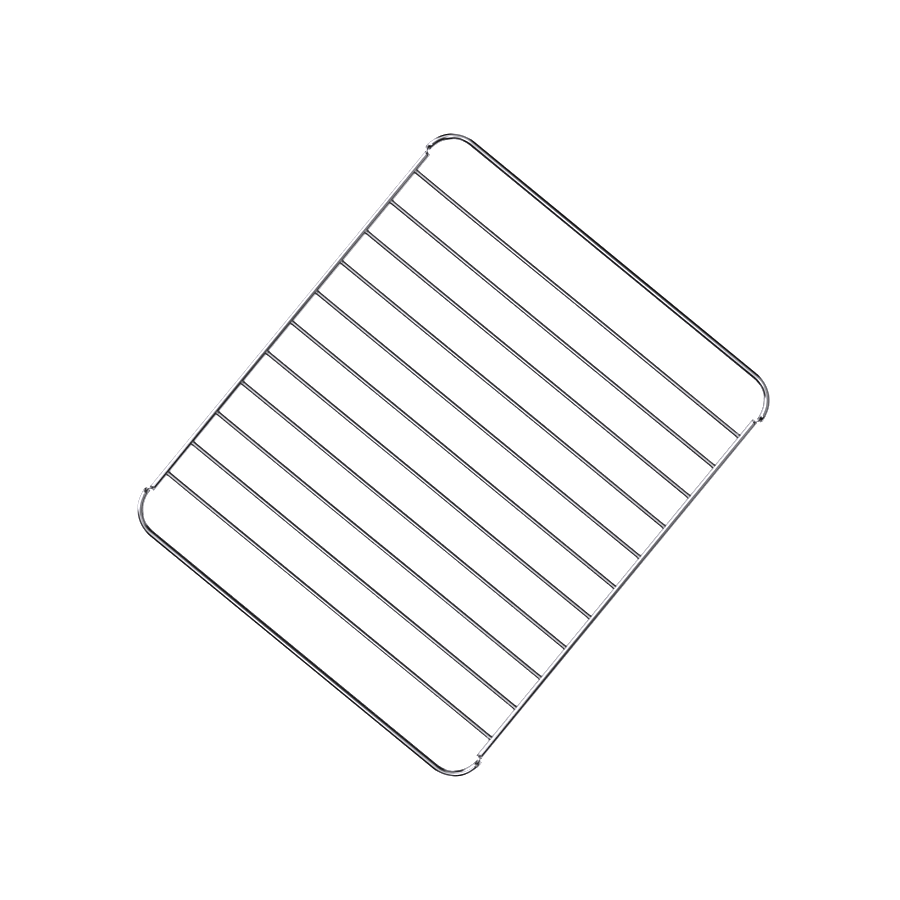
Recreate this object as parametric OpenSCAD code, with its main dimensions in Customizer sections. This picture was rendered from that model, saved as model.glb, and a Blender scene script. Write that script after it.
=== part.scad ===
// Rectangular wire rack: a round perimeter wire, straight and low along both sides, with its two ends
// bent up into raised handles, and a row of thinner cross wires butt-welded between the side rails.
//
// +X runs along the cross wires, +Y along the side rails and +Z is up. The origin is under the middle
// of the rack, on the surface that its rails lie on.

/* [Perimeter wire] */
// Diameter of the perimeter wire
frame_wire_d = 4; // [3.2:0.1:6]
// Distance between the centres of the two side rails
rail_spacing = 260; // [160:1:420]
// Straight rail from the centre of the last cross wire to the start of the handle's bend
rail_end_gap = 11.5; // [6:0.5:40]

/* [Raised handles] */
// Height of the handle's centre line above the rail's centre line
handle_rise = 15; // [10:0.5:60]
// Radius of the inside of the two tight bends in each upright
upright_inner_r = 1; // [0.6:0.1:2]
// Angle by which the handle already leans inwards where it leaves the upright
handle_lead_in = 15; // [5:1:40]
// Straight wire between the upright and the handle's rounded corner
handle_lead_len = 1.5; // [0.5:0.5:30]
// Centre-line radius of the handle's rounded corners
corner_r = 18.5; // [8:0.5:60]

/* [Cross wires] */
// Number of cross wires
cross_wire_count = 11; // [3:1:21]
// Diameter of each cross wire
cross_wire_d = 3; // [2:0.1:3.6]
// Distance between the centres of neighbouring cross wires
cross_wire_pitch = 24; // [12:0.5:40]

/* [Welds] */
// How far a weld's fillet stands out from the cross wire
weld_throat = 0.3; // [0.2:0.05:0.6]
// How far a weld's fillet runs along the cross wire from the rail
weld_run = 1.2; // [0.6:0.1:2.5]
// Thickness of the fillet at its thin end
weld_lip = 0.06; // [0.04:0.01:0.15]

/* [Hidden] */

$fn = 64;

frame_r = frame_wire_d / 2;
cross_r = cross_wire_d / 2;
rail_x = rail_spacing / 2;
rail_z = frame_r;
last_wire_y = (cross_wire_count - 1) / 2 * cross_wire_pitch;
rail_end_y = last_wire_y + rail_end_gap;

// The wire's centre line in an upright's two bends, and the straight wire between them
upright_bend_r = frame_r + upright_inner_r;
upright_len = handle_rise - 2 * upright_bend_r;

// How far the wire leads inwards from the upright before the rounded corner starts
lead_run = upright_bend_r + handle_lead_len;

// The end bar runs between the ends of its two rounded corners
bar_len = 2 * (rail_x - lead_run * sin(handle_lead_in) - corner_r * cos(handle_lead_in));
bar_y = rail_end_y + upright_bend_r + lead_run * cos(handle_lead_in) + corner_r * (1 - sin(handle_lead_in));
bar_z = rail_z + handle_rise;

// One corner, from the right rail's end to the bar: up, along the upright, level, then round. Each row
// holds the turn of the bend plane about the wire, the straight wire before the bend, the bend's
// centre-line radius and its angle.
CORNER_BENDS = [
    [90, 0, upright_bend_r, 90],
    [180 + handle_lead_in, upright_len, upright_bend_r, 90],
    [90, handle_lead_len, corner_r, 90 - handle_lead_in]
];

// A weld's fillet never stands out as far as the perimeter wire's own surface
weld_r = min(cross_r + weld_throat, frame_r - weld_lip);

// A cope cutter reaches past the weld on both sides of its cross wire
cope_len = 2 * (cross_wire_d + weld_throat);

wire_colour = [0.80, 0.80, 0.82];
weld_colour = [0.70, 0.70, 0.73];

function cross_wire_name(i) = str("cross_wire_", i < 10 ? "0" : "", i);
function cross_wire_y(i) = (i - 1) * cross_wire_pitch - last_wire_y;

// Straight perimeter wire, from the origin along +Y
module straight_wire(length) {
    rotate([-90, 0, 0])
        cylinder(h = length, d = frame_wire_d);
}

// A bend of the perimeter wire: it starts at the origin along +Y and curves towards -X
module wire_bend(bend_r, angle) {
    translate([-bend_r, 0, 0])
        rotate_extrude(angle = angle)
            translate([bend_r, 0])
                circle(d = frame_wire_d);
}

// Draws a bend table from row i on, each row starting where the one before it ends
module bent_wire(bends, i = 0) {
    turn = bends[i][0];
    straight = bends[i][1];
    bend_r = bends[i][2];
    angle = bends[i][3];
    rotate([0, turn, 0]) {
        if (straight > 0)
            straight_wire(straight);
        translate([0, straight, 0]) {
            wire_bend(bend_r, angle);
            if (i + 1 < len(bends))
                translate([-bend_r * (1 - cos(angle)), bend_r * sin(angle), 0])
                    rotate([0, 0, angle])
                        bent_wire(bends, i + 1);
        }
    }
}

module side_rail(side) {
    color(wire_colour)
        translate([side * rail_x, -rail_end_y, rail_z])
            straight_wire(2 * rail_end_y);
}

module end_bar(end) {
    color(wire_colour)
        translate([bar_len / 2, end * bar_y, bar_z])
            rotate([0, 0, 90])
                straight_wire(bar_len);
}

// A raised corner: side is -1 at the left rail and 1 at the right, end is -1 in front and 1 behind
module raised_corner(side, end) {
    color(wire_colour)
        mirror([side < 0 ? 1 : 0, 0, 0])
            mirror([0, end < 0 ? 1 : 0, 0])
                translate([rail_x, rail_end_y, rail_z])
                    bent_wire(CORNER_BENDS);
}

// What the rail takes out of a wire or weld that meets it at height rail_z
module rail_cope(side, y) {
    translate([side * rail_x, y, rail_z])
        rotate([90, 0, 0])
            cylinder(h = cope_len, d = frame_wire_d, center = true);
}

// One straight wire between the rails, with both ends coped to sit against them
module cross_wire(i) {
    y = cross_wire_y(i);
    color(wire_colour)
        difference() {
            translate([0, y, rail_z])
                rotate([0, 90, 0])
                    cylinder(h = rail_spacing, d = cross_wire_d, center = true);
            rail_cope(-1, y);
            rail_cope(1, y);
        }
}

// The fillet round one end of a cross wire: a tapering collar that the rail is cut out of
module weld_fillet(side, y) {
    difference() {
        translate([side * rail_x, y, rail_z])
            rotate([0, -side * 90, 0])
                rotate_extrude()
                    polygon([
                        [cross_r, 0],
                        [weld_r, 0],
                        [weld_r, frame_r],
                        [cross_r + weld_lip, frame_r + weld_run],
                        [cross_r, frame_r + weld_run]
                    ]);
        rail_cope(side, y);
    }
}

module rail_welds(side) {
    color(weld_colour)
        for (i = [1 : cross_wire_count])
            weld_fillet(side, cross_wire_y(i));
}

module left_rail() {
    side_rail(-1);
}

module right_rail() {
    side_rail(1);
}

module front_bar() {
    end_bar(-1);
}

module back_bar() {
    end_bar(1);
}

module front_left_corner() {
    raised_corner(-1, -1);
}

module front_right_corner() {
    raised_corner(1, -1);
}

module back_left_corner() {
    raised_corner(-1, 1);
}

module back_right_corner() {
    raised_corner(1, 1);
}

module left_welds() {
    rail_welds(-1);
}

module right_welds() {
    rail_welds(1);
}

left_rail();
right_rail();
front_bar();
back_bar();
front_left_corner();
front_right_corner();
back_left_corner();
back_right_corner();
for (i = [1 : cross_wire_count])
    cross_wire(i);
left_welds();
right_welds();
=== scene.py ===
"""A bright-chromed wire cooling rack, seen from straight above: one bent perimeter wire whose ends rise
into handles, a row of thinner cross wires, and the small weld fillets that hold them."""

import math

import bpy
from mathutils import Matrix, Vector


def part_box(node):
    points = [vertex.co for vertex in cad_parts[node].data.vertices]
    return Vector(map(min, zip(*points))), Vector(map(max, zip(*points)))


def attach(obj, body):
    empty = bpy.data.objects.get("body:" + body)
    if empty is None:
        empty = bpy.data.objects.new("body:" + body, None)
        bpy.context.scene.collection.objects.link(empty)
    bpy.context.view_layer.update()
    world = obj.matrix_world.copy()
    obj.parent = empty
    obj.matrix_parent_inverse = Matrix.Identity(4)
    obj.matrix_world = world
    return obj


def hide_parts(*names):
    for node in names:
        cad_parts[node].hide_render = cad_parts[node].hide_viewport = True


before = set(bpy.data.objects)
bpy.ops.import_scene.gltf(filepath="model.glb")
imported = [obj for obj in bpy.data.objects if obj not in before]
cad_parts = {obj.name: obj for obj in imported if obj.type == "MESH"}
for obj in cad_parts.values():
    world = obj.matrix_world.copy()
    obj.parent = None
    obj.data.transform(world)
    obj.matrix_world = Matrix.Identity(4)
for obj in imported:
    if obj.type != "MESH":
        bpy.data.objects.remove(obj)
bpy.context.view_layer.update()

MM = 0.001

# ---------------------------------------------------------------------------------------------------
# Sizes, in metres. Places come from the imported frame; the three bend values below aren't in its boxes.

UPRIGHT_BEND_R = 3 * MM
HANDLE_LEAD_LEN = 1.5 * MM
HANDLE_LEAD_IN = math.radians(15)

FRAME_NODES = [
    "left_rail",
    "right_rail",
    "front_bar",
    "back_bar",
    "front_left_corner",
    "front_right_corner",
    "back_left_corner",
    "back_right_corner",
]
CROSS_NODES = sorted(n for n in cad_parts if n.startswith("cross_wire_"))
WELD_NODES = ["left_welds", "right_welds"]

rail_low, rail_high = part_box("right_rail")
bar_low, bar_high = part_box("back_bar")
first_wire_low, first_wire_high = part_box(CROSS_NODES[0])
second_wire_low, second_wire_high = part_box(CROSS_NODES[1])

frame_r = (rail_high.x - rail_low.x) / 2
rail_x = (rail_high.x + rail_low.x) / 2
rail_z = (rail_high.z + rail_low.z) / 2
rail_end_y = rail_high.y
bar_end_x = bar_high.x
bar_z = (bar_high.z + bar_low.z) / 2
lead_run = UPRIGHT_BEND_R + HANDLE_LEAD_LEN
corner_r = (rail_x - bar_end_x - lead_run * math.sin(HANDLE_LEAD_IN)) / math.cos(HANDLE_LEAD_IN)

cross_r = (first_wire_high.z - first_wire_low.z) / 2
cross_z = (first_wire_high.z + first_wire_low.z) / 2
first_wire_y = (first_wire_high.y + first_wire_low.y) / 2
cross_pitch = second_wire_low.y - first_wire_low.y

# How finely the wires are drawn
PERIMETER_SIDES = 32
CROSS_WIRE_SIDES = 28
CROSS_WIRE_RINGS = 33
TIGHT_BEND_STEPS = 24
CORNER_STEPS = 48
LONG_STEP = 20 * MM
SHORT_STEP = 4 * MM
# The short first and last step of a straight
BEND_GUARD = 0.4 * MM


# ---------------------------------------------------------------------------------------------------
# Small helpers

# A Mix node's colour sockets, by place, because they share their names with those of its other types
MIX_A = 6
MIX_B = 7
MIX_RESULT = 2


def linear(hex_colour):
    """An sRGB hex colour as the linear RGBA that Blender's sockets take."""
    channels = [int(hex_colour[i : i + 2], 16) / 255 for i in (1, 3, 5)]
    return [c / 12.92 if c <= 0.04045 else ((c + 0.055) / 1.055) ** 2.4 for c in channels] + [1]


def add_node(tree, kind, inputs=None, **settings):
    """Adds a node with its settings. Each input is a value, or the socket that feeds it."""
    node = tree.nodes.new(kind)
    for name, value in settings.items():
        setattr(node, name, value)
    for name, value in (inputs or {}).items():
        if isinstance(value, bpy.types.NodeSocket):
            tree.links.new(value, node.inputs[name])
        else:
            node.inputs[name].default_value = value
    return node


def new_object(name, mesh):
    piece = bpy.data.objects.new(name, mesh)
    bpy.context.scene.collection.objects.link(piece)
    return piece


def new_node_group(name, sizes):
    """A Geometry Nodes group whose inputs are a geometry, a material and the named sizes."""
    tree = bpy.data.node_groups.new(name, "GeometryNodeTree")
    tree.interface.new_socket("Geometry", in_out="OUTPUT", socket_type="NodeSocketGeometry")
    tree.interface.new_socket("Geometry", in_out="INPUT", socket_type="NodeSocketGeometry")
    tree.interface.new_socket("Material", in_out="INPUT", socket_type="NodeSocketMaterial")
    for size, kind in sizes.items():
        tree.interface.new_socket(size, in_out="INPUT", socket_type="NodeSocket" + kind)
    return tree, tree.nodes.new("NodeGroupInput").outputs


def finish_node_group(tree, geometry, material):
    """Smooth shading, the material and Realize Instances, which every group ends with."""
    smooth = add_node(tree, "GeometryNodeSetShadeSmooth", {"Geometry": geometry})
    real = add_node(tree, "GeometryNodeRealizeInstances", {"Geometry": smooth.outputs[0]})
    painted = add_node(tree, "GeometryNodeSetMaterial", {"Geometry": real.outputs[0], "Material": material})
    add_node(tree, "NodeGroupOutput", {"Geometry": painted.outputs[0]})


def grow(name, start_mesh, tree, values):
    """Runs a node group on a mesh and returns the result as a plain mesh object."""
    source = new_object(name + "_source", start_mesh)
    modifier = source.modifiers.new("grow", "NODES")
    modifier.node_group = tree
    for socket in tree.interface.items_tree:
        if socket.in_out == "INPUT" and socket.name in values:
            modifier[socket.identifier] = values[socket.name]
    graph = bpy.context.evaluated_depsgraph_get()
    mesh = bpy.data.meshes.new_from_object(source.evaluated_get(graph))
    mesh.name = name
    bpy.data.objects.remove(source)
    return new_object(name, mesh)


def closed_path_mesh(name, points):
    """A closed chain of edges through the points."""
    edges = [(i, (i + 1) % len(points)) for i in range(len(points))]
    mesh = bpy.data.meshes.new(name)
    mesh.from_pydata(points, edges, [])
    return mesh


# ---------------------------------------------------------------------------------------------------
# Materials


def bright_chrome(name, clean_hex, clouded_hex, polish, haze):
    """Bright decorative chrome over nickel, on cold-drawn low-carbon steel wire.
    The plate is mirror-like with a cool cast. It follows the drawing lines that run along the wire, it
    clouds a little where polish and handling differ, and it carries sparse fine scuffs."""
    material = bpy.data.materials.new(name)
    material.use_nodes = True
    tree = material.node_tree
    tree.nodes.clear()

    # Along the wire in z, and round its section in x and y, in metres
    along_wire = add_node(tree, "ShaderNodeAttribute", attribute_name="wire_coord").outputs["Vector"]

    # Drawing lines: real ones are a few hundredths of a millimetre apart, and are drawn coarser so that
    # they show
    line_width = 0.6 * MM
    line_length = 30 * MM
    stretched = add_node(
        tree,
        "ShaderNodeVectorMath",
        {0: along_wire, 1: (1 / line_width, 1 / line_width, 1 / line_length)},
        operation="MULTIPLY",
    ).outputs["Vector"]
    drawing_lines = add_node(
        tree, "ShaderNodeTexNoise", {"Vector": stretched, "Scale": 1.0, "Detail": 3.0, "Roughness": 0.55}
    ).outputs["Fac"]

    # Scuffs: sparse marks across the wire. Real ones are hair-thin, and are drawn wider so that they
    # show.
    scuff_length = 2 * MM
    scuff_width = 0.35 * MM
    across = add_node(
        tree,
        "ShaderNodeVectorMath",
        {0: along_wire, 1: (1 / scuff_length, 1 / scuff_length, 1 / scuff_width)},
        operation="MULTIPLY",
    ).outputs["Vector"]
    scuff_noise = add_node(
        tree, "ShaderNodeTexNoise", {"Vector": across, "Scale": 1.0, "Detail": 2.0, "Distortion": 0.6}
    ).outputs["Fac"]
    scuffs = add_node(
        tree,
        "ShaderNodeMapRange",
        {"Value": scuff_noise, "From Min": 0.66, "From Max": 0.74, "To Min": 0.0, "To Max": 1.0},
    ).outputs["Result"]

    # Clouding of the plate, where polish and handling differ
    cloud_length = 18 * MM
    clouds = add_node(
        tree,
        "ShaderNodeTexNoise",
        {"Vector": along_wire, "Scale": 1 / cloud_length, "Detail": 4.0, "Roughness": 0.6},
    ).outputs["Fac"]
    cloud_share = add_node(
        tree,
        "ShaderNodeMapRange",
        {"Value": clouds, "From Min": 0.35, "From Max": 0.7, "To Min": 0.0, "To Max": 1.0},
    ).outputs["Result"]
    colour = add_node(
        tree,
        "ShaderNodeMix",
        {0: cloud_share, MIX_A: linear(clean_hex), MIX_B: linear(clouded_hex)},
        data_type="RGBA",
    ).outputs[MIX_RESULT]

    # Roughness: the polish, and what clouds, drawing lines and scuffs add to it
    line_roughness = 0.02
    scuff_roughness = 0.10
    clouded = add_node(
        tree, "ShaderNodeMath", {0: cloud_share, 1: haze, 2: polish}, operation="MULTIPLY_ADD"
    ).outputs[0]
    lined = add_node(
        tree, "ShaderNodeMath", {0: drawing_lines, 1: line_roughness, 2: clouded}, operation="MULTIPLY_ADD"
    ).outputs[0]
    roughness = add_node(
        tree, "ShaderNodeMath", {0: scuffs, 1: scuff_roughness, 2: lined}, operation="MULTIPLY_ADD"
    ).outputs[0]

    # Relief: the drawing lines stand up and the scuffs cut in
    relief_height = 0.01 * MM
    relief = add_node(
        tree, "ShaderNodeMath", {0: scuffs, 1: -0.5, 2: drawing_lines}, operation="MULTIPLY_ADD"
    ).outputs[0]
    bump = add_node(
        tree, "ShaderNodeBump", {"Height": relief, "Strength": 0.25, "Distance": relief_height}
    ).outputs["Normal"]

    shader = add_node(
        tree,
        "ShaderNodeBsdfPrincipled",
        {
            "Base Color": colour,
            "Metallic": 1.0,
            "Roughness": roughness,
            "Normal": bump,
        },
    )
    add_node(tree, "ShaderNodeOutputMaterial", {"Surface": shader.outputs[0]})
    return material


# ---------------------------------------------------------------------------------------------------
# The perimeter wire


def bend(centre, start, axis, angle, steps):
    """Points of a bend after its first one: start turned about the axis through the centre."""
    arm = Vector(start) - centre
    return [centre + Matrix.Rotation(angle * k / steps, 3, axis) @ arm for k in range(1, steps + 1)]


def straight(start, end, spacing):
    """Points after start up to end. The first and last steps are short, so that a bend's smooth
    shading doesn't spread along the straight wire."""
    start = Vector(start)
    run = Vector(end) - start
    if run.length < 4 * BEND_GUARD:
        return [start + run / 2, start + run]
    guard = BEND_GUARD / run.length
    steps = max(2, round(run.length / spacing))
    shares = [guard] + [k / steps for k in range(1, steps)] + [1 - guard, 1]
    return [start + run * share for share in shares]


def quarter_path():
    """The wire's centre line from the middle of the right rail to the middle of the back bar."""
    up = Vector((0, 0, 1))
    lead = Matrix.Rotation(HANDLE_LEAD_IN, 3, up) @ Vector((0, 1, 0))
    inwards = up.cross(lead)
    points = [Vector((rail_x, 0, rail_z))]
    points += straight(points[-1], (rail_x, rail_end_y, rail_z), LONG_STEP)
    rising = points[-1] + up * UPRIGHT_BEND_R
    points += bend(rising, points[-1], Vector((1, 0, 0)), math.pi / 2, TIGHT_BEND_STEPS)
    upright = points[-1].copy()
    upright.z = bar_z - UPRIGHT_BEND_R
    points += straight(points[-1], upright, SHORT_STEP)
    levelling = points[-1] + lead * UPRIGHT_BEND_R
    points += bend(levelling, points[-1], lead.cross(up), -math.pi / 2, TIGHT_BEND_STEPS)
    points += straight(points[-1], points[-1] + lead * HANDLE_LEAD_LEN, SHORT_STEP)
    rounding = points[-1] + inwards * corner_r
    points += bend(rounding, points[-1], up, math.pi / 2 - HANDLE_LEAD_IN, CORNER_STEPS)
    points += straight(points[-1], (0, points[-1].y, points[-1].z), LONG_STEP)
    return points


def perimeter_path():
    """The whole closed centre line: the quarter, mirrored into the other three."""
    quarter = quarter_path()
    back = quarter + [Vector((-p.x, p.y, p.z)) for p in reversed(quarter[:-1])]
    front = [Vector((p.x, -p.y, p.z)) for p in reversed(back[1:-1])]
    return back + front


def round_wire(tree, path, radius, sides):
    """Sweeps a round section along a path, with the place along and round the wire as wire_coord."""
    run = add_node(tree, "GeometryNodeSplineParameter").outputs["Length"]
    marked_path = add_node(tree, "GeometryNodeCaptureAttribute", domain="POINT")
    marked_path.capture_items.new("FLOAT", "Run")
    tree.links.new(path, marked_path.inputs["Geometry"])
    tree.links.new(run, marked_path.inputs["Run"])

    section = add_node(
        tree, "GeometryNodeCurvePrimitiveCircle", {"Resolution": sides, "Radius": radius}, mode="RADIUS"
    ).outputs["Curve"]
    place = add_node(tree, "GeometryNodeInputPosition").outputs[0]
    marked_section = add_node(tree, "GeometryNodeCaptureAttribute", domain="POINT")
    marked_section.capture_items.new("VECTOR", "Place")
    tree.links.new(section, marked_section.inputs["Geometry"])
    tree.links.new(place, marked_section.inputs["Place"])

    wire = add_node(
        tree,
        "GeometryNodeCurveToMesh",
        {
            "Curve": marked_path.outputs["Geometry"],
            "Profile Curve": marked_section.outputs["Geometry"],
            "Fill Caps": True,
        },
    ).outputs["Mesh"]
    round_place = add_node(tree, "ShaderNodeSeparateXYZ", {0: marked_section.outputs["Place"]})
    coord = add_node(
        tree,
        "ShaderNodeCombineXYZ",
        {0: round_place.outputs[0], 1: round_place.outputs[1], 2: marked_path.outputs["Run"]},
    )
    return add_node(
        tree,
        "GeometryNodeStoreNamedAttribute",
        {"Geometry": wire, "Name": "wire_coord", "Value": coord.outputs[0]},
        data_type="FLOAT_VECTOR",
        domain="POINT",
    ).outputs[0]


def perimeter_wire(material):
    """One round wire all the way round: both rails, all four uprights and both raised end bars."""
    tree, given = new_node_group("bent_round_wire", {"Wire radius": "Float", "Sides": "Int"})
    path = add_node(tree, "GeometryNodeMeshToCurve", {"Mesh": given["Geometry"]}).outputs[0]
    wire = round_wire(tree, path, given["Wire radius"], given["Sides"])
    finish_node_group(tree, wire, given["Material"])
    piece = grow(
        "perimeter_wire",
        closed_path_mesh("perimeter_path", perimeter_path()),
        tree,
        {"Material": material, "Wire radius": frame_r, "Sides": PERIMETER_SIDES},
    )
    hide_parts(*FRAME_NODES)
    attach(piece, "root")


# ---------------------------------------------------------------------------------------------------
# The cross wires


def cross_wires(material):
    """Straight wires in a row, each with its own very slight bow, as drawn wire has."""
    tree, given = new_node_group(
        "row_of_cross_wires",
        {
            "Count": "Int",
            "Pitch": "Float",
            "Half length": "Float",
            "Wire radius": "Float",
            "Sides": "Int",
            "Bow": "Float",
            "Seed": "Int",
        },
    )
    step = add_node(tree, "ShaderNodeCombineXYZ", {1: given["Pitch"]}).outputs[0]
    row = add_node(
        tree,
        "GeometryNodeMeshLine",
        {"Count": given["Count"], "Start Location": (0, first_wire_y, cross_z), "Offset": step},
    ).outputs[0]
    left_end = add_node(tree, "ShaderNodeMath", {0: given["Half length"], 1: -1.0}, operation="MULTIPLY")
    line = add_node(
        tree,
        "GeometryNodeCurvePrimitiveLine",
        {
            "Start": add_node(tree, "ShaderNodeCombineXYZ", {0: left_end.outputs[0]}).outputs[0],
            "End": add_node(tree, "ShaderNodeCombineXYZ", {0: given["Half length"]}).outputs[0],
        },
    ).outputs[0]
    line = add_node(tree, "GeometryNodeResampleCurve", {"Curve": line, "Count": CROSS_WIRE_RINGS}).outputs[0]
    wire = round_wire(tree, line, given["Wire radius"], given["Sides"])
    placed = add_node(tree, "GeometryNodeInstanceOnPoints", {"Points": row, "Instance": wire}).outputs[0]
    real = add_node(tree, "GeometryNodeRealizeInstances", {"Geometry": placed}).outputs[0]

    # A smooth drift along x that differs from wire to wire and dies away towards both welds. Each wire
    # reads the noise on a line of its own.
    line_gap = 7.3
    drift_length = 110 * MM
    here = add_node(tree, "GeometryNodeInputPosition").outputs[0]
    parts = add_node(tree, "ShaderNodeSeparateXYZ", {0: here})
    wire_number = add_node(
        tree, "ShaderNodeMath", {0: parts.outputs[1], 1: given["Pitch"]}, operation="DIVIDE"
    ).outputs[0]
    whole_number = add_node(tree, "ShaderNodeMath", {0: wire_number}, operation="ROUND").outputs[0]
    seed_shift = add_node(
        tree, "ShaderNodeMath", {0: whole_number, 1: line_gap, 2: given["Seed"]}, operation="MULTIPLY_ADD"
    ).outputs[0]
    along = add_node(tree, "ShaderNodeCombineXYZ", {0: parts.outputs[0], 1: seed_shift}).outputs[0]
    drift = add_node(
        tree, "ShaderNodeTexNoise", {"Vector": along, "Scale": 1 / drift_length, "Detail": 0.0}
    ).outputs["Color"]
    centred = add_node(
        tree, "ShaderNodeVectorMath", {0: drift, 1: (0.5, 0.5, 0.5)}, operation="SUBTRACT"
    ).outputs[0]
    sideways = add_node(
        tree, "ShaderNodeVectorMath", {0: centred, 1: (0, 1, 1)}, operation="MULTIPLY"
    ).outputs[0]
    share = add_node(
        tree, "ShaderNodeMath", {0: parts.outputs[0], 1: given["Half length"]}, operation="DIVIDE"
    ).outputs[0]
    squared = add_node(tree, "ShaderNodeMath", {0: share, 1: 2.0}, operation="POWER").outputs[0]
    slack = add_node(tree, "ShaderNodeMath", {0: 1.0, 1: squared}, operation="SUBTRACT").outputs[0]
    amount = add_node(tree, "ShaderNodeMath", {0: slack, 1: given["Bow"]}, operation="MULTIPLY").outputs[0]
    shift = add_node(
        tree, "ShaderNodeVectorMath", {0: sideways, "Scale": amount}, operation="SCALE"
    ).outputs[0]
    bowed = add_node(tree, "GeometryNodeSetPosition", {"Geometry": real, "Offset": shift}).outputs[0]
    finish_node_group(tree, bowed, given["Material"])

    piece = grow(
        "cross_wires",
        bpy.data.meshes.new("cross_wire_start"),
        tree,
        {
            "Material": material,
            "Count": len(CROSS_NODES),
            "Pitch": cross_pitch,
            "Half length": rail_x - frame_r / 2,
            "Wire radius": cross_r,
            "Sides": CROSS_WIRE_SIDES,
            "Bow": 0.5 * MM,
            "Seed": 3,
        },
    )
    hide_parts(*CROSS_NODES)
    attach(piece, "root")


# ---------------------------------------------------------------------------------------------------
# The welds

# The sizes between which the fillets vary, along the cross wire and twice across it, as shares
SMALLEST_WELD = (0.98, 0.985, 0.985)
LARGEST_WELD = (1.03, 1.02, 1.02)


def weld_collar():
    """One closed fillet round the end of a cross wire that leaves a rail along +X. The origin is on
    the rail's axis. Its outside sweeps from the wire to the rail, and its inside is sunk in both."""
    throat = 0.3 * MM
    run = 1.2 * MM
    sunk = 0.25 * MM
    sides = 40
    steps = 8

    def on_rail(radius, angle):
        """How far out the rail's surface lies, at a place round the cross wire."""
        return math.sqrt(frame_r**2 - (radius * math.sin(angle)) ** 2)

    angles = [2 * math.pi * i / sides for i in range(sides)]
    points = []
    for k in range(steps + 1):
        u = k / steps
        radius = cross_r + throat * u**2
        for angle in angles:
            corner_x = on_rail(cross_r, angle)
            rail_point_x = on_rail(cross_r + throat, angle)
            x = corner_x + run * (1 - u) ** 2 + (rail_point_x - corner_x) * u**2
            points.append((x, radius * math.cos(angle), radius * math.sin(angle)))
    inner_r = cross_r - sunk
    for inset in (-sunk, run - sunk):
        for angle in angles:
            x = on_rail(cross_r, angle) + inset
            points.append((x, inner_r * math.cos(angle), inner_r * math.sin(angle)))

    rings = len(points) // sides
    faces = []
    for k in range(rings):
        here = k * sides
        there = (k + 1) % rings * sides
        for i in range(sides):
            j = (i + 1) % sides
            faces.append((here + i, here + j, there + j, there + i))
    mesh = bpy.data.meshes.new("weld_collar")
    mesh.from_pydata(points, [], faces)
    mesh.update()
    return mesh


def rail_welds(material):
    """The fillets at both ends of every cross wire, each a little different in size."""
    tree, given = new_node_group(
        "weld_fillets",
        {"Count": "Int", "Pitch": "Float", "Rail x": "Float", "Collar": "Object", "Seed": "Int"},
    )
    step = add_node(tree, "ShaderNodeCombineXYZ", {1: given["Pitch"]}).outputs[0]
    collar = add_node(tree, "GeometryNodeObjectInfo", {"Object": given["Collar"]}).outputs["Geometry"]
    both = add_node(tree, "GeometryNodeJoinGeometry")
    for side, turn in ((-1, 0.0), (1, math.pi)):
        side_x = add_node(
            tree, "ShaderNodeMath", {0: given["Rail x"], 1: float(side)}, operation="MULTIPLY"
        ).outputs[0]
        start = add_node(tree, "ShaderNodeCombineXYZ", {0: side_x, 1: first_wire_y, 2: cross_z}).outputs[0]
        row = add_node(
            tree,
            "GeometryNodeMeshLine",
            {"Count": given["Count"], "Start Location": start, "Offset": step},
        ).outputs[0]
        size = add_node(
            tree,
            "FunctionNodeRandomValue",
            {"Min": SMALLEST_WELD, "Max": LARGEST_WELD, "Seed": given["Seed"]},
            data_type="FLOAT_VECTOR",
        ).outputs[0]
        placed = add_node(
            tree,
            "GeometryNodeInstanceOnPoints",
            {"Points": row, "Instance": collar, "Rotation": (0, 0, turn), "Scale": size},
        ).outputs[0]
        tree.links.new(placed, both.inputs[0])
    real = add_node(tree, "GeometryNodeRealizeInstances", {"Geometry": both.outputs[0]}).outputs[0]
    here = add_node(tree, "GeometryNodeInputPosition").outputs[0]
    marked = add_node(
        tree,
        "GeometryNodeStoreNamedAttribute",
        {"Geometry": real, "Name": "wire_coord", "Value": here},
        data_type="FLOAT_VECTOR",
        domain="POINT",
    ).outputs[0]
    finish_node_group(tree, marked, given["Material"])

    collar_piece = new_object("weld_collar", weld_collar())
    piece = grow(
        "rail_welds",
        bpy.data.meshes.new("weld_start"),
        tree,
        {
            "Material": material,
            "Count": len(CROSS_NODES),
            "Pitch": cross_pitch,
            "Rail x": rail_x,
            "Collar": collar_piece,
            "Seed": 5,
        },
    )
    bpy.data.objects.remove(collar_piece)
    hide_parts(*WELD_NODES)
    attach(piece, "root")


# ---------------------------------------------------------------------------------------------------
# The studio


def floor():
    """A plain pale table under the rack. It isn't mirrored in the plate: the lower half of the studio
    stands for it there, so that the wire keeps its dark outlines."""
    reach = 10.0
    glow_strength = 0.93
    corners = [(-reach, -reach, 0), (reach, -reach, 0), (reach, reach, 0), (-reach, reach, 0)]
    mesh = bpy.data.meshes.new("floor")
    mesh.from_pydata(corners, [], [(0, 1, 2, 3)])
    piece = new_object("floor", mesh)
    piece.visible_glossy = False
    material = bpy.data.materials.new("white_table")
    material.use_nodes = True
    tree = material.node_tree
    tree.nodes.clear()
    paper = add_node(tree, "ShaderNodeBsdfDiffuse", {"Color": linear("#C8C8C8")})
    glow = add_node(tree, "ShaderNodeEmission", {"Color": linear("#FFFFFF"), "Strength": glow_strength})
    both = add_node(tree, "ShaderNodeAddShader", {0: paper.outputs[0], 1: glow.outputs[0]})
    add_node(tree, "ShaderNodeOutputMaterial", {"Surface": both.outputs[0]})
    mesh.materials.append(material)


# The studio round the rack. Each side is given once, as brightness by height in degrees: below the
# horizon in its first row, and from the horizon up in its second.
BRIGHTEST = 3.0
ZENITH = (90, 0.66)
NADIR = (-90, 2.2)

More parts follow.
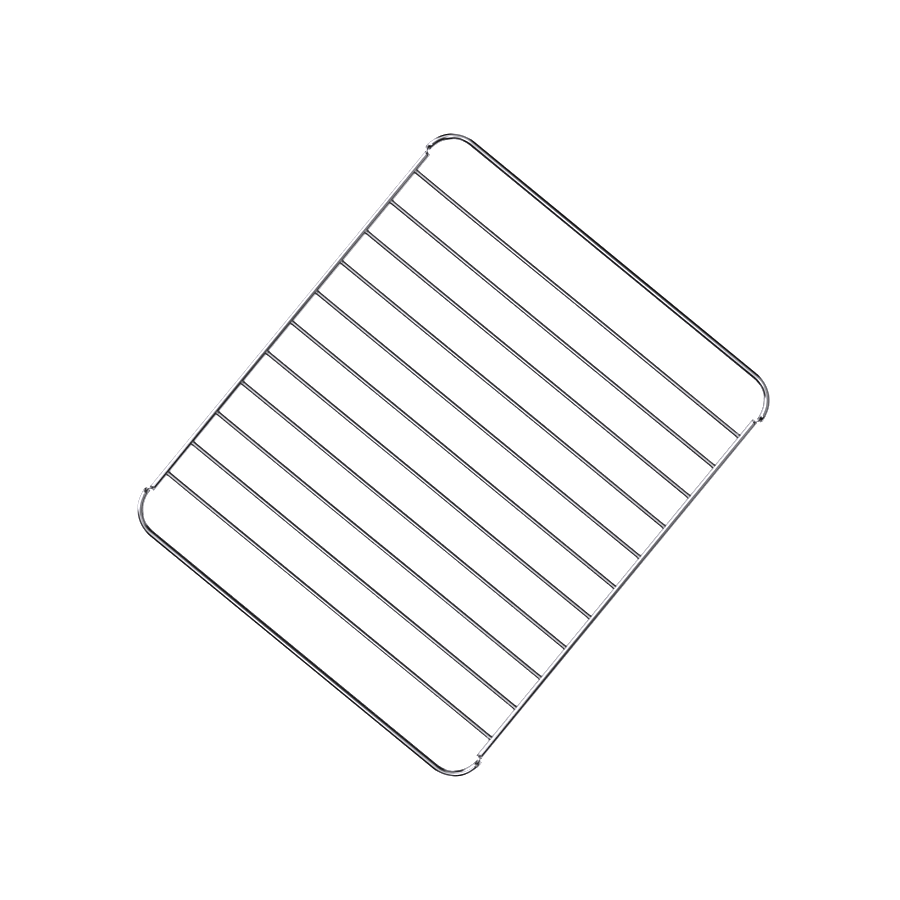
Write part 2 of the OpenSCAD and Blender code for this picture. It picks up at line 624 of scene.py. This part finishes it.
# A broad light on the left that reaches well down
LEFT = [
    (-64, 0.7), (-44, 0.12), (-28, 0.35), (-14, 2.0),
    (14, 0.9), (42, 2.8), (56, 2.2), (66, 1.3), (76, 1.0),
]

# A high light in front, over dark surroundings that outline the cross wires and the bars
FRONT = [
    (-60, 2.6), (-50, 1.6), (-42, 0.3), (-32, 0.015),
    (44, 0.015), (53, 0.5), (62, 2.9), (78, 2.8), (85, 0.6),
]

# The right side shows the lit table just below the horizon. It is dim above, but for a light towards
# the back.
RIGHT_FRONT = [
    (-60, 1.2), (-48, 0.5), (-34, 1.0), (-24, 2.2), (-12, 1.6),
    (0, 0.45), (18, 0.1), (44, 0.05), (66, 0.07), (76, 0.4),
]
RIGHT_BACK = [
    (-60, 0.12), (-50, 0.14), (-38, 0.55), (-26, 2.0), (-14, 1.6), (-4, 0.6),
    (8, 0.24), (24, 0.2), (36, 0.36), (48, 1.1), (62, 0.75), (76, 0.32),
]

# The back is dark, with a light high up that is weak in the middle and strong on the left
BACK = [
    (-60, 1.0), (-50, 0.8), (-42, 0.15), (-32, 0.03),
    (24, 0.02), (38, 0.04), (48, 0.2), (62, 0.5), (76, 0.42), (85, 0.65),
]
BACK_LEFT = [
    (-60, 1.0), (-50, 0.6), (-42, 0.12), (-32, 0.03),
    (26, 0.03), (38, 0.12), (50, 1.4), (66, 2.0), (80, 1.0),
]

# Beyond the handles' corners the pale table shows low down, and up to a little above the horizon
FRONT_CORNER = [
    (-60, 2.0), (-34, 1.5), (-12, 1.0),
    (6, 0.5), (20, 0.12), (30, 0.05), (46, 0.07), (57, 0.6), (66, 1.6), (80, 1.8),
]
BACK_CORNER = [
    (-60, 1.8), (-34, 1.4), (-12, 1.1),
    (6, 0.7), (20, 0.36), (34, 0.28), (46, 0.4), (57, 0.9), (68, 1.3), (80, 0.9),
]

# The angles round from +X, in degrees, between which each side fills the room. From one side to the
# next, it fades.
STUDIO = [
    (-180, LEFT),
    (-144, LEFT),
    (-130, FRONT_CORNER),
    (-108, FRONT_CORNER),
    (-99, FRONT),
    (-81, FRONT),
    (-72, FRONT_CORNER),
    (-56, FRONT_CORNER),
    (-48, FRONT),
    (-40, FRONT),
    (-24, RIGHT_FRONT),
    (-12, RIGHT_FRONT),
    (12, RIGHT_BACK),
    (46, RIGHT_BACK),
    (56, BACK_CORNER),
    (72, BACK_CORNER),
    (81, BACK),
    (99, BACK),
    (108, BACK_CORNER),
    (124, BACK_CORNER),
    (134, BACK_LEFT),
    (145, BACK_LEFT),
    (160, LEFT),
    (180, LEFT),
]

# The room's light is a touch violet, most of all in its dark parts
TINT_GAIN = (1.008, 1.0, 1.01)
TINT_LIFT = (0.0002, 0.0, 0.0009)

# Below 1, it deepens the wires' thin dark lines
VIEW_GAMMA = 0.58


def studio_light():
    """The studio as the world's light. The camera itself sees plain pale surroundings."""
    world = bpy.data.worlds.new("studio")
    bpy.context.scene.world = world
    world.use_nodes = True
    tree = world.node_tree
    tree.nodes.clear()
    way = add_node(tree, "ShaderNodeTexCoord").outputs["Generated"]
    parts = add_node(tree, "ShaderNodeSeparateXYZ", {0: way})
    rise = add_node(tree, "ShaderNodeMath", {0: parts.outputs["Z"]}, operation="ARCSINE").outputs[0]
    height = add_node(
        tree, "ShaderNodeMath", {0: rise, 1: 1 / math.pi, 2: 0.5}, operation="MULTIPLY_ADD"
    ).outputs[0]
    turn = add_node(
        tree, "ShaderNodeMath", {0: parts.outputs["Y"], 1: parts.outputs["X"]}, operation="ARCTAN2"
    ).outputs[0]

    def side(stops):
        """One side's brightness at every height."""
        node = add_node(tree, "ShaderNodeValToRGB", {"Fac": height})
        ramp = node.color_ramp
        ramp.interpolation = "EASE"
        stops = [NADIR] + stops + [ZENITH]
        while len(ramp.elements) < len(stops):
            ramp.elements.new(0.5)
        for element, (degrees, brightness) in zip(ramp.elements, stops):
            element.position = degrees / 180 + 0.5
            grey = brightness / BRIGHTEST
            element.color = [grey * gain + lift for gain, lift in zip(TINT_GAIN, TINT_LIFT)] + [1]
        return node.outputs["Color"]

    so_far = side(STUDIO[0][1])
    for (start, before), (end, after) in zip(STUDIO, STUDIO[1:]):
        if before is after:
            continue
        share = add_node(
            tree,
            "ShaderNodeMapRange",
            {"Value": turn, "From Min": math.radians(start), "From Max": math.radians(end)},
            interpolation_type="SMOOTHSTEP",
        ).outputs["Result"]
        so_far = add_node(
            tree, "ShaderNodeMix", {0: share, MIX_A: so_far, MIX_B: side(after)}, data_type="RGBA"
        ).outputs[MIX_RESULT]

    studio = add_node(tree, "ShaderNodeBackground", {"Color": so_far, "Strength": BRIGHTEST})
    plain = add_node(tree, "ShaderNodeBackground", {"Color": linear("#FCFCFC"), "Strength": 1.0})
    seen = add_node(tree, "ShaderNodeLightPath").outputs["Is Camera Ray"]
    mix = add_node(tree, "ShaderNodeMixShader", {0: seen, 1: studio.outputs[0], 2: plain.outputs[0]})
    add_node(tree, "ShaderNodeOutputWorld", {"Surface": mix.outputs[0]})
    bpy.context.scene.view_settings.view_transform = "Standard"
    bpy.context.scene.view_settings.gamma = VIEW_GAMMA


def camera():
    """Straight above the rack, turned so that its rails run up to the right."""
    height = 0.91
    seen_width = 553.2 * MM
    turn = math.radians(39.4)
    rack_right_of_middle = 2.1 * MM
    rack_below_middle = 3 * MM
    to_right = Vector((math.cos(turn), math.sin(turn), 0))
    to_top = Vector((-math.sin(turn), math.cos(turn), 0))
    data = bpy.data.cameras.new("camera")
    data.sensor_width = 36
    data.lens = data.sensor_width * height / seen_width
    piece = bpy.data.objects.new("camera", data)
    bpy.context.scene.collection.objects.link(piece)
    piece.location = Vector((0, 0, cross_z + height))
    piece.location += to_top * rack_below_middle - to_right * rack_right_of_middle
    piece.rotation_euler = (0, 0, turn)
    bpy.context.scene.camera = piece


# ---------------------------------------------------------------------------------------------------
# The scene

camera()
floor()
studio_light()

perimeter_wire(bright_chrome("bright_chrome_on_4_mm_wire", "#CECED1", "#C3C3C7", polish=0.025, haze=0.025))
# The cross wires' chrome has a lighter base colour than the perimeter's, though it is the same plate: a
# painted highlight that makes their thin highlight brighter.
cross_wires(bright_chrome("bright_chrome_with_painted_highlight_on_3_mm_wire", "#DCDCDF", "#CFCFD3", polish=0.025, haze=0.03))
rail_welds(bright_chrome("bright_chrome_on_weld", "#C6C6C9", "#ACACB0", polish=0.08, haze=0.10))
